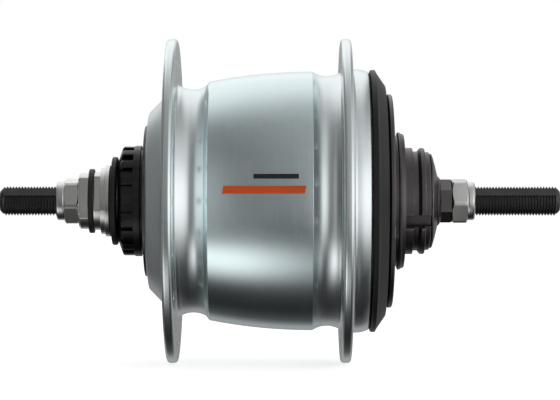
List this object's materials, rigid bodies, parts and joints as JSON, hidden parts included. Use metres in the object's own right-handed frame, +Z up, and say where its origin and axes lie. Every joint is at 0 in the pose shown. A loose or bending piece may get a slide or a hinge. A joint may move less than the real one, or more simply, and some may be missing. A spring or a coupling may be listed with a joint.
{
  "type": "bicycle internal gear hub",
  "caption": "Rear bicycle hub with internal planetary gears: flanged aluminium shell on a threaded steel axle, brake spline on the left, sprocket driver on the right.",
  "frame": {"origin": "middle of the axle, on its centre line", "axes": "+Y along the axle towards the drive side, +Z up, +X away from the direction of travel"},
  "size_m": [0.1064, 0.184, 0.1064],
  "materials": {
    "shell_aluminium": "satin polished and clear coated",
    "cover_plastic": "semi-gloss black moulded plastic",
    "black_oxide_steel": "black oxide, lightly oiled",
    "driver_steel": "dark brown-grey hardened steel",
    "bright_steel": "bright zinc plate",
    "gear_steel": "ground and oiled",
    "cage_steel": "pressed steel",
    "spline_coat": "satin black",
    "seal_rubber": "matt black"
  },
  "bodies": {
    "axle": {"axle": "black_oxide_steel", "left_end_washer": "bright_steel", "left_locknut": "bright_steel", "left_adjusting_nut": "bright_steel", "left_lock_washer": "seal_rubber", "left_cone": "bright_steel", "left_dust_ring": "seal_rubber", "sun_gear_1": "gear_steel", "sun_gear_4": "gear_steel", "sun_pawls": "gear_steel", "sun_thrust_washers": "gear_steel", "shift_return_spring": "bright_steel", "right_cone": "driver_steel", "right_dust_shield": "driver_steel", "right_locknut": "bright_steel", "right_end_washer": "bright_steel"},
    "hub_shell": {"hub_shell": "shell_aluminium", "brake_spline": "spline_coat", "left_dust_plate": "driver_steel", "left_bearing_cup": "gear_steel", "right_ball_cup": "gear_steel", "right_cover": "cover_plastic", "clutch_race": "gear_steel"},
    "ring_gear_2": {"ring_gear_2": "gear_steel", "clutch_rollers": "bright_steel", "clutch_cage": "cage_steel"},
    "carrier": {"carrier_left": "cage_steel", "carrier_mid": "cage_steel", "carrier_right": "cage_steel", "planet_pins": "bright_steel"},
    "sun_gear_2": {"sun_gear_2": "gear_steel"},
    "sun_gear_3": {"sun_gear_3": "gear_steel"},
    "ring_gear_1": {"ring_gear_1": "gear_steel"},
    "driver": {"driver": "driver_steel", "driver_pawls": "gear_steel", "driver_dust_plate": "driver_steel", "driver_dust_cap": "driver_steel"},
    "left_bearing": {"left_balls": "bright_steel", "left_ball_retainer": "cage_steel"},
    "main_bearing": {"main_balls": "bright_steel", "main_ball_retainer": "cage_steel"},
    "driver_bearing": {"driver_balls": "bright_steel", "driver_ball_retainer": "cage_steel"},
    "shift_sleeve": {"shift_sleeve": "driver_steel"},
    "planet_a_1": {"planet_a_1": "gear_steel"},
    "planet_a_2": {"planet_a_2": "gear_steel"},
    "planet_a_3": {"planet_a_3": "gear_steel"},
    "planet_b_1": {"planet_b_1": "gear_steel"},
    "planet_b_2": {"planet_b_2": "gear_steel"},
    "planet_b_3": {"planet_b_3": "gear_steel"}
  },
  "joints": [
    {"name": "hub_spin", "type": "hinge", "parent": "axle", "child": "hub_shell", "pos_m": [0, 0, 0], "axis": [0, 1, 0], "continuous": true},
    {"name": "ring_gear_2_spin", "type": "hinge", "parent": "axle", "child": "ring_gear_2", "pos_m": [0, 0, 0], "axis": [0, 1, 0], "continuous": true},
    {"name": "carrier_spin", "type": "hinge", "parent": "axle", "child": "carrier", "pos_m": [0, 0, 0], "axis": [0, 1, 0], "continuous": true},
    {"name": "sun_gear_2_spin", "type": "hinge", "parent": "axle", "child": "sun_gear_2", "pos_m": [0, 0, 0], "axis": [0, 1, 0], "continuous": true},
    {"name": "sun_gear_3_spin", "type": "hinge", "parent": "axle", "child": "sun_gear_3", "pos_m": [0, 0, 0], "axis": [0, 1, 0], "continuous": true},
    {"name": "ring_gear_1_spin", "type": "hinge", "parent": "axle", "child": "ring_gear_1", "pos_m": [0, 0, 0], "axis": [0, 1, 0], "continuous": true},
    {"name": "driver_spin", "type": "hinge", "parent": "axle", "child": "driver", "pos_m": [0, 0, 0], "axis": [0, 1, 0], "continuous": true},
    {"name": "left_balls_orbit", "type": "hinge", "parent": "axle", "child": "left_bearing", "pos_m": [0, 0, 0], "axis": [0, 1, 0], "continuous": true},
    {"name": "main_balls_orbit", "type": "hinge", "parent": "axle", "child": "main_bearing", "pos_m": [0, 0, 0], "axis": [0, 1, 0], "continuous": true},
    {"name": "driver_balls_orbit", "type": "hinge", "parent": "axle", "child": "driver_bearing", "pos_m": [0, 0, 0], "axis": [0, 1, 0], "continuous": true},
    {"name": "planet_a_1_spin", "type": "hinge", "parent": "carrier", "child": "planet_a_1", "pos_m": [0.021, 0.013, 0], "axis": [0, 1, 0], "continuous": true},
    {"name": "planet_a_2_spin", "type": "hinge", "parent": "carrier", "child": "planet_a_2", "pos_m": [-0.0105, 0.013, -0.01819], "axis": [0, 1, 0], "continuous": true},
    {"name": "planet_a_3_spin", "type": "hinge", "parent": "carrier", "child": "planet_a_3", "pos_m": [-0.0105, 0.013, 0.01819], "axis": [0, 1, 0], "continuous": true},
    {"name": "planet_b_1_spin", "type": "hinge", "parent": "carrier", "child": "planet_b_1", "pos_m": [0.021, -0.004, 0], "axis": [0, 1, 0], "continuous": true},
    {"name": "planet_b_2_spin", "type": "hinge", "parent": "carrier", "child": "planet_b_2", "pos_m": [-0.0105, -0.004, -0.01819], "axis": [0, 1, 0], "continuous": true},
    {"name": "planet_b_3_spin", "type": "hinge", "parent": "carrier", "child": "planet_b_3", "pos_m": [-0.0105, -0.004, 0.01819], "axis": [0, 1, 0], "continuous": true},
    {"name": "shift_turn", "type": "hinge", "parent": "axle", "child": "shift_sleeve", "pos_m": [0, 0.01, 0], "axis": [0, 1, 0], "range_deg": [-54, 72]}
  ],
  "couplings": [
    {"joint": "ring_gear_2_spin", "follows": "hub_spin", "ratio": 1},
    {"joint": "carrier_spin", "follows": "hub_spin", "ratio": 0.61776},
    {"joint": "ring_gear_1_spin", "follows": "hub_spin", "ratio": 1.1737},
    {"joint": "driver_spin", "follows": "hub_spin", "ratio": 1.1737},
    {"joint": "sun_gear_2_spin", "follows": "hub_spin", "ratio": -1.0811},
    {"joint": "sun_gear_3_spin", "follows": "hub_spin", "ratio": -0.28475},
    {"joint": "left_balls_orbit", "follows": "hub_spin", "ratio": 0.58975},
    {"joint": "main_balls_orbit", "follows": "hub_spin", "ratio": 1.0818},
    {"joint": "driver_balls_orbit", "follows": "hub_spin", "ratio": 0.67506},
    {"joint": "planet_a_1_spin", "follows": "hub_spin", "ratio": 1.8533},
    {"joint": "planet_b_1_spin", "follows": "hub_spin", "ratio": 1.2741},
    {"joint": "planet_a_2_spin", "follows": "hub_spin", "ratio": 1.8533},
    {"joint": "planet_b_2_spin", "follows": "hub_spin", "ratio": 1.2741},
    {"joint": "planet_a_3_spin", "follows": "hub_spin", "ratio": 1.8533},
    {"joint": "planet_b_3_spin", "follows": "hub_spin", "ratio": 1.2741}
  ]
}
